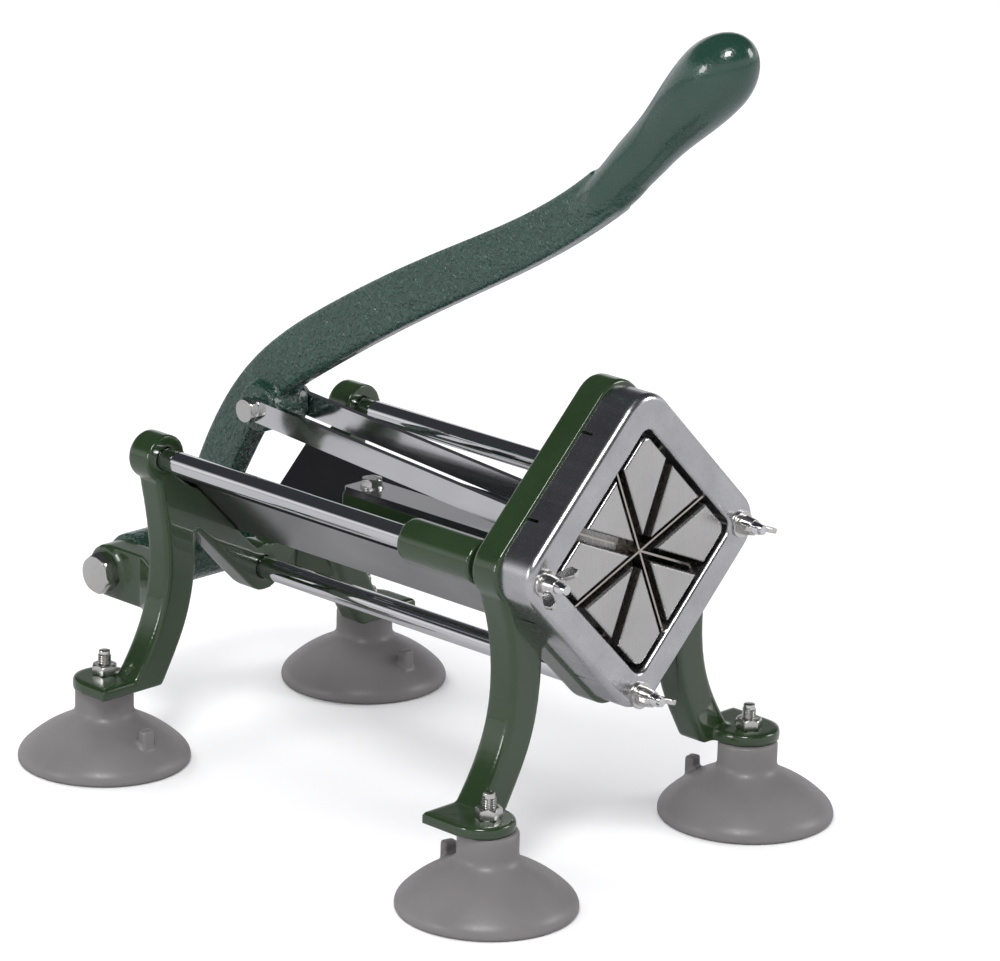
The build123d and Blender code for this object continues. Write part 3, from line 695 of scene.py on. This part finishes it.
@dataclass
class LeverCasting(Casting):
    """The lever, with its flat arm swelled smoothly into the round grip.

    Attributes:
        root: start of the grip from the lever box's front and top, along Y and Z.
        slope: slope of the grip above level, degrees.
        half_sizes: of the swelling, across X, across the arm and along it.
    """

    root: tuple[float, float] = (0.0, 0.0)
    slope: float = 38.0
    half_sizes: tuple[float, float, float] = (8.6 * MM, 10.2 * MM, 30.0 * MM)

    def fill(self, piece: Object) -> Object:
        """Joins a long swelling to the arm where the grip starts.

        Args:
            piece: copy of the lever.

        Returns:
            The lever with its swelling.
        """
        low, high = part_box(self.node)
        place = Vector((0, low[1] + self.root[0], high[2] + self.root[1]))
        Workshop.deselect()
        bpy.ops.mesh.primitive_uv_sphere_add(segments=64, ring_count=48, radius=1.0)
        swelling = bpy.context.object
        bpy.ops.object.mode_set(mode="EDIT")
        bpy.ops.mesh.select_all(action="SELECT")
        bpy.ops.transform.resize(value=self.half_sizes, center_override=(0, 0, 0))
        bpy.ops.object.mode_set(mode="OBJECT")
        slope = math.radians(self.slope)
        Workshop.place(swelling, place, place + Vector((0, -math.cos(slope), math.sin(slope))))
        return Workshop.join(piece.name, [piece, swelling])


@dataclass(frozen=True)
class Thread:
    """A threaded bar with chamfered ends.

    Attributes:
        radius: outside radius of the thread.
        pitch: distance between turns.
        depth: how deep the thread is cut.
    """

    radius: float
    pitch: float = 0.8 * MM
    depth: float = 0.42 * MM

    STEPS = 28         # facets in a turn
    HALF_TOOTH = 0.49  # half a tooth's height, in pitches
    FIRST_TOOTH = 0.6  # height of the first tooth above the start, in pitches
    CHAMFER = 0.8      # chamfer of the core, in depths

    def make(self, name: str, start: Vector, end: Vector) -> Object:
        """Winds the thread round a core bar along a line.

        Args:
            name: the piece's name.
            start: middle of the plain end.
            end: middle of the tip.

        Returns:
            The thread, settled.
        """
        length = (end - start).length
        turns = max(1, int(length / self.pitch) - 2)
        core = self.radius - self.depth
        Workshop.deselect()
        bpy.ops.mesh.primitive_circle_add(vertices=4, radius=1.0, fill_type="NOTHING")
        tooth = bpy.context.object
        bpy.ops.object.mode_set(mode="EDIT")
        bpy.ops.mesh.select_all(action="SELECT")
        bpy.ops.transform.rotate(value=math.pi / 2, orient_axis="X", center_override=(0, 0, 0))
        size = (self.depth, 1.0, self.HALF_TOOTH * self.pitch)
        bpy.ops.transform.resize(value=size, center_override=(0, 0, 0))
        bpy.ops.transform.translate(value=(core, 0, self.FIRST_TOOTH * self.pitch))
        bpy.ops.object.mode_set(mode="OBJECT")
        Workshop.apply(tooth, "SCREW", axis="Z", screw_offset=self.pitch, iterations=turns,
                       steps=self.STEPS, render_steps=self.STEPS, use_normal_calculate=True,
                       use_smooth_shade=False)
        bar = Workshop.rod(name + "_core", core, Vector((0, 0, 0)), Vector((0, 0, length)), 48)
        Workshop.bevel(bar, self.CHAMFER * self.depth, 2)
        piece = Workshop.join(name, [bar, tooth])
        Workshop.place(piece, start, end)
        Workshop.smooth(piece, 40)
        return piece


@dataclass(frozen=True)
class Hexagon:
    """A nut or a bolt head with turned corners.

    Attributes:
        flats: size across flats.
        height: thickness.
        bore: radius of the hole, or nothing for a head.
        flange: radius of a washer face under it, or nothing.
    """

    flats: float
    height: float
    bore: float = 0.0
    flange: float = 0.0

    CORNER_CUT = 0.13  # chamfer of the corners, in corner radii
    BROKEN_EDGE = 0.16 * MM
    FLANGE_HEIGHT = 0.8 * MM
    HOLE_PAST = 0.01   # how far the bore's tool stands out at each end

    def make(self, name: str) -> Object:
        """Models the hexagon standing on the origin.

        Args:
            name: the piece's name.

        Returns:
            The hexagon, from z = 0 up.
        """
        corner = self.flats / math.sqrt(3)
        middle = (0, 0, self.height / 2)
        Workshop.deselect()
        blanks = []
        for sides in (6, 72):
            bpy.ops.mesh.primitive_cylinder_add(
                vertices=sides, radius=corner, depth=self.height, location=middle
            )
            blanks.append(Workshop.settle(bpy.context.object))
        piece, turned = blanks
        piece.name = name
        Workshop.bevel(turned, corner * self.CORNER_CUT, 1)
        Workshop.cut(piece, turned, "INTERSECT")
        if self.bore:
            ends = (-self.HOLE_PAST, self.height + self.HOLE_PAST)
            hole = Workshop.rod("hole", self.bore, *(Vector((0, 0, z)) for z in ends), 48)
            Workshop.cut(piece, hole)
        if self.flange:
            ends = (0.0, self.FLANGE_HEIGHT)
            foot = Workshop.rod("flange", self.flange, *(Vector((0, 0, z)) for z in ends), 64)
            Workshop.cut(piece, foot, "UNION")
        Workshop.bevel(piece, self.BROKEN_EDGE, 2, 25)
        Workshop.smooth(piece, 30)
        return piece


@dataclass(frozen=True)
class CrossBolt:
    """A bolt through the machine from left to right, with its nut.

    Attributes:
        name: start of the two frame nodes' names.
        body: body that both ride on.
        radius: of the shank.
        flats: size across flats of the head and the nut.
        head: height of the head.
        pitch: thread pitch.
        turn: turn of the head, degrees.
    """

    name: str
    body: Body
    radius: float
    flats: float
    head: float
    pitch: float
    turn: float

    def make(self, material: Material) -> None:
        """Models the bolt and the nut where the frame has them.

        Args:
            material: the plating.
        """
        low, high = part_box(self.name + "_bolt")
        nut_low, nut_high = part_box(self.name + "_nut")
        y, z = (low[1] + high[1]) / 2, (low[2] + high[2]) / 2
        under_head = Vector((low[0] + self.head, y, z))
        head = Hexagon(self.flats, self.head).make("head")
        Workshop.place(head, under_head, Vector((low[0], y, z)), self.turn)
        seat = Vector((nut_low[0] - 1.0 * MM, y, z))
        shank = Workshop.rod("shank", self.radius, under_head, seat, 72)
        thread = Thread(self.radius, self.pitch, THREAD_DEPTH * self.pitch)
        end = thread.make("thread", seat, Vector((high[0], y, z)))
        bolt = Workshop.join(self.name + "_bolt_turned", [head, shank, end])
        Workshop.smooth(bolt, 30)
        Workshop.dress(bolt, material, self.body, "zinc_steel")
        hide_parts(self.name + "_bolt")
        nut = Hexagon(self.flats, nut_high[0] - nut_low[0], self.radius)
        nut = nut.make(self.name + "_nut_turned")
        Workshop.place(nut, Vector((nut_low[0], y, z)), Vector((nut_high[0], y, z)),
                       self.turn + NUT_TURN)
        Workshop.dress(nut, material, self.body, "zinc_steel")
        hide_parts(self.name + "_nut")


@dataclass(frozen=True)
class TieRods:
    """The three rods between the castings, with threaded front ends.

    Attributes:
        radius: radius of the plain bar.
        stud: radius of the threaded end.
        chamfer: chamfer of the bar's ends.
        behind_face: start of the thread behind the blade frame's front.
    """

    radius: float = 5.0 * MM
    stud: float = 2.5 * MM
    chamfer: float = 0.5 * MM
    behind_face: float = 1.0 * MM

    def make(self, material: Material) -> None:
        """Models each rod where the frame has it.

        Args:
            material: the plating.
        """
        shoulder_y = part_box("front_casting")[1][1]
        face_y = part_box("blade_frame")[0][1]
        for side in ("left", "right", "bottom"):
            node = "tie_rod_" + side
            low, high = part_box(node)
            x, z = (low[0] + high[0]) / 2, (low[2] + high[2]) / 2
            shoulder, far = Vector((x, shoulder_y, z)), Vector((x, high[1], z))
            bar = Workshop.rod("bar", self.radius, shoulder, far, 128)
            Workshop.bevel(bar, self.chamfer, 3)
            start = Vector((x, face_y + self.behind_face, z))
            neck = Workshop.rod("neck", self.stud, shoulder, start, 48)
            end = Thread(self.stud).make("stud", start, Vector((x, low[1], z)))
            rod = Workshop.join(node + "_turned", [bar, neck, end])
            Workshop.smooth(rod, 30)
            Workshop.dress(rod, material, Body.FRAME, "chrome_steel")
            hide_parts(node)


@dataclass(frozen=True)
class Feet:
    """Foot screws, their nuts and the moulded cups.

    Attributes:
        flats: size across flats of a nut.
        screw: radius of a screw.
    """

    flats: float = 10.0 * MM
    screw: float = 3.0 * MM

    CUPS = ("front_left", "front_right", "rear_left", "rear_right")

    def make(self, plating: Material, materials: dict[str, Material]) -> None:
        """Models one screw and one nut, copies them to the four feet, and moulds the cups.

        Args:
            plating: finish of the screws and the nuts.
            materials: finishes by name.
        """
        low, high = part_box("foot_nuts")
        screw_low, screw_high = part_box("foot_screws")
        ends = (Vector((0, 0, screw_low[2])), Vector((0, 0, screw_high[2])))
        first_screw = Thread(self.screw, 1.0 * MM, 0.5 * MM).make("screw", *ends)
        first_nut = Hexagon(self.flats, high[2] - low[2], self.screw).make("nut")
        screws, nuts = [], []
        for number, cup in enumerate(self.CUPS):
            cup_low, cup_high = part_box("suction_cup_" + cup)
            x, y = (cup_low[0] + cup_high[0]) / 2, (cup_low[1] + cup_high[1]) / 2
            screws.append(Workshop.twin(first_screw, Vector((x, y, 0)), 50.0 * number))
            nuts.append(Workshop.twin(first_nut, Vector((x, y, low[2])), 38.0 + 17.0 * number))
            moulding = Casting("suction_cup_" + cup, Body.FRAME, "cup_rubber", "cup_rubber",
                               0.8 * MM, 3)
            moulding.make(materials)
        bpy.data.objects.remove(first_screw, do_unlink=True)
        bpy.data.objects.remove(first_nut, do_unlink=True)
        for name, group in (("foot_screws", screws), ("foot_nuts", nuts)):
            piece = Workshop.join(name + "_turned", group)
            Workshop.smooth(piece, 30)
            Workshop.dress(piece, plating, Body.FRAME, "zinc_steel")
            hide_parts(name)


class Edge(Enum):
    """Frame nodes whose sharp edges are broken, with the edge's width in millimetres."""

    SHEET = (("trough_left", "trough_right"), 0.25)
    STRAP = (("carriage_strap",), 0.4)
    WASHERS = (("wing_nut_washers",), 0.2)


WINGS = (Body.WING_LEFT, Body.WING_RIGHT, Body.WING_BOTTOM)
CROSS_BOLTS = (
    CrossBolt("crank", Body.LINKS, radius=3.0 * MM, flats=10.0 * MM, head=4.2 * MM,
              pitch=1.0 * MM, turn=10.0),
    CrossBolt("pusher", Body.LINKS, radius=3.0 * MM, flats=10.0 * MM, head=4.2 * MM,
              pitch=1.0 * MM, turn=24.0),
    CrossBolt("pivot", Body.FRAME, radius=5.0 * MM, flats=16.0 * MM, head=6.4 * MM,
              pitch=1.5 * MM, turn=12.0),
)


class Machine:
    """The whole cutter: every sub-assembly, dressed and riding on its body."""

    def __init__(self) -> None:
        """Builds the shared finishes."""
        effects = SharedEffects()
        self.materials = {finish.name: finish.build(effects) for finish in FINISHES}

    def build(self) -> None:
        """Builds every sub-assembly in order."""
        zinc = self.materials["zinc_plate"]
        for casting in (
            Casting("front_casting", Body.FRAME, "green_enamel", "green_paint", 0.9 * MM, 3),
            Casting("rear_casting", Body.FRAME, "green_enamel", "green_paint", 0.9 * MM, 3),
            Casting("pusher_carriage", Body.PUSHER, "green_enamel", "green_paint", 0.8 * MM, 3),
            LeverCasting("lever", Body.LEVER, "hammer_enamel", "lever_paint", 0.9 * MM, 9,
                         root=(72.2 * MM, -74.3 * MM)),
            *(Casting(wing.value, wing, "zinc_plate", "zinc_steel", 0.25 * MM, 3)
              for wing in WINGS),
        ):
            casting.make(self.materials)
        for bolt in CROSS_BOLTS:
            bolt.make(zinc)
        TieRods().make(self.materials["chrome"])
        Feet().make(zinc, self.materials)
        self.strap_bolt(zinc)
        self.dress_frame_nodes()

    def strap_bolt(self, material: Material) -> None:
        """Models the upright flanged bolt on the strap.

        Args:
            material: the plating.
        """
        low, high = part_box("strap_bolt")
        x, y = (low[0] + high[0]) / 2, (low[1] + high[1]) / 2
        strap_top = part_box("carriage_strap")[1][2]
        head = Hexagon(8.5 * MM, high[2] - strap_top, flange=5.2 * MM).make("head")
        Workshop.place(head, Vector((x, y, strap_top)), Vector((x, y, high[2])), 12.0)
        top = Vector((x, y, strap_top + 0.5 * MM))
        shank = Workshop.rod("shank", 2.5 * MM, Vector((x, y, low[2])), top, 48)
        bolt = Workshop.join("strap_bolt_turned", [head, shank])
        Workshop.smooth(bolt, 30)
        Workshop.dress(bolt, material, Body.PUSHER, "zinc_steel")
        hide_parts("strap_bolt")

    def dress_frame_nodes(self) -> None:
        """Gives each frame node that still shows its finish, and breaks sharp edges."""
        finishes = {
            "blade_frame": "polished_aluminium",
            "pusher_head": "milled_aluminium",
            "carriage_strap": "link_steel",
            "trough_left": "trough_sheet",
            "trough_right": "trough_sheet",
            "link_left": "link_steel",
            "link_right": "link_steel",
            "blade_front_falling": "blade_steel",
            "blade_front_rising": "blade_steel",
            "blade_rear_falling": "blade_steel",
            "blade_rear_rising": "blade_steel",
        }
        for node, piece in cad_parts.items():
            finish = finishes.get(node, "zinc_plate")
            piece.data.materials.clear()
            piece.data.materials.append(self.materials[finish])
            LOG.info("%s has finish %s", node, finish)
        for edge in Edge:
            nodes, width = edge.value
            for node in nodes:
                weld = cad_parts[node].modifiers.new("weld", "WELD")
                weld.merge_threshold = MERGE_DISTANCE
                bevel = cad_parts[node].modifiers.new("broken_edge", "BEVEL")
                bevel.width = width * MM
                bevel.segments = 2
                bevel.angle_limit = math.radians(40)


# -------------------------------------------------------------------- studio
@dataclass(frozen=True)
class Lamp:
    """One square soft light that faces the machine.

    Attributes:
        name: the light's name.
        place: where it hangs.
        size: side of the square.
        power: watts.
        mirrored: whether it shows in shiny surfaces.
    """

    name: str
    place: tuple[float, float, float]
    size: float
    power: float
    mirrored: bool = True

    AIM = (0, 0, 0.12)  # point that it faces

    def hang(self) -> None:
        """Adds the light to the scene."""
        data = bpy.data.lights.new(self.name, "AREA")
        data.size = self.size
        data.energy = self.power
        lamp = bpy.data.objects.new(self.name, data)
        lamp.location = self.place
        lamp.visible_glossy = self.mirrored
        facing = Vector(self.AIM) - Vector(self.place)
        lamp.rotation_euler = facing.to_track_quat("-Z", "Y").to_euler()
        bpy.context.scene.collection.objects.link(lamp)


LAMPS = (
    Lamp("key", (-1.3, -1.0, 1.9), size=0.7, power=34.0),
    Lamp("fill", (1.7, -1.5, 1.2), size=0.8, power=14.0),
    Lamp("back", (0.3, 1.9, 1.6), size=1.5, power=24.0, mirrored=False),
    Lamp("side", (-2.1, 0.6, 0.7), size=0.5, power=8.0),
)


@dataclass
class Studio:
    """Camera, floor and lights.

    Attributes:
        azimuth: camera direction round the machine, degrees.
        elevation: camera height above the horizon, degrees.
        roll: camera roll, degrees.
        distance: camera to target.
        lens: focal length in millimetres on a 36 mm sensor.
        target: point looked at, from the blade frame's front face on the bench.
    """

    azimuth: float = -46.0923
    elevation: float = 17.2099
    roll: float = 1.4197
    distance: float = 2.14198
    lens: float = 180.944
    target: tuple[float, float, float] = (0.028577, 0.110519, 0.135606)

    def camera(self) -> None:
        """Places the camera."""
        around, above, roll = (math.radians(a) for a in (self.azimuth, self.elevation, self.roll))
        level = math.cos(above)
        back = Vector((math.sin(around) * level, -math.cos(around) * level, math.sin(above)))
        face_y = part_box("blade_frame")[0][1]
        centre = Vector(self.target) + Vector((0, face_y, 0))
        right = (-back).cross(Vector((0, 0, 1))).normalized()
        up = right.cross(-back)
        across = right * math.cos(roll) + up * math.sin(roll)
        upward = up * math.cos(roll) - right * math.sin(roll)
        turn = Matrix((across, upward, back)).transposed().to_4x4()
        data = bpy.data.cameras.new("camera")
        data.sensor_width = 36.0
        data.lens = self.lens
        data.clip_end = 20.0
        camera = bpy.data.objects.new("camera", data)
        bpy.context.scene.collection.objects.link(camera)
        camera.matrix_world = Matrix.Translation(centre + back * self.distance) @ turn
        bpy.context.scene.camera = camera

    def floor(self) -> None:
        """Lays a flat pale floor, which shiny surfaces see darker than it is."""
        Workshop.deselect()
        bpy.ops.mesh.primitive_plane_add(size=14.0, location=(0, 0, -0.0002))
        plane = bpy.context.object
        plane.name = "floor"
        material = bpy.data.materials.new("floor_white")
        material.use_nodes = True
        nodes = NodeTree(material.node_tree)
        shader = material.node_tree.nodes["Principled BSDF"]
        place = nodes.add("TexCoord")
        grain = nodes.add("TexNoise", {"Vector": place.outputs["Object"], "Scale": 4.0})
        pale = nodes.mix(grain.outputs[0], (0.90, 0.90, 0.90, 1.0), (0.93, 0.93, 0.93, 1.0))
        parts = nodes.add("SeparateXYZ", {0: place.outputs["Object"]})
        behind = nodes.ramp(parts.outputs["Y"], -0.5, 0.35)
        mirrored = nodes.mix(behind, (0.50, 0.50, 0.51, 1.0), (0.42, 0.42, 0.43, 1.0))
        path = nodes.add("LightPath")
        color = nodes.mix(path.outputs["Is Glossy Ray"], pale, mirrored)
        nodes.tree.links.new(color, shader.inputs["Base Color"])
        shader.inputs["Roughness"].default_value = 0.9
        shader.inputs["Specular IOR Level"].default_value = 0.1
        plane.data.materials.append(material)

    def world(self) -> None:
        """Fills the room with soft light; shiny surfaces see it bright low down, dark above."""
        world = bpy.data.worlds.new("room")
        world.use_nodes = True
        bpy.context.scene.world = world
        nodes = NodeTree(world.node_tree)
        ground = world.node_tree.nodes["Background"]
        place = nodes.add("TexCoord")
        parts = nodes.add("SeparateXYZ", {0: place.outputs["Generated"]})
        glow = nodes.ramp(parts.outputs["Z"], 0.36, 0.20)
        mirrored = nodes.mix(glow, (0.040, 0.041, 0.048, 1.0), (0.80, 0.80, 0.82, 1.0))
        path = nodes.add("LightPath")
        lit = nodes.mix(path.outputs["Is Glossy Ray"], (0.70, 0.70, 0.72, 1.0), mirrored)
        seen = nodes.mix(path.outputs["Is Camera Ray"], lit, (1.1, 1.1, 1.1, 1.0))
        nodes.tree.links.new(seen, ground.inputs["Color"])
        ground.inputs["Strength"].default_value = 1.0

    def build(self) -> None:
        """Sets up the whole studio."""
        self.camera()
        self.floor()
        self.world()
        for lamp in LAMPS:
            lamp.hang()


def main() -> None:
    """Builds the machine and the studio."""
    logging.basicConfig(level=logging.INFO, format="%(message)s")
    Machine().build()
    Studio().build()
    bpy.context.scene.view_settings.view_transform = "Standard"


if __name__ == "__main__":
    main()
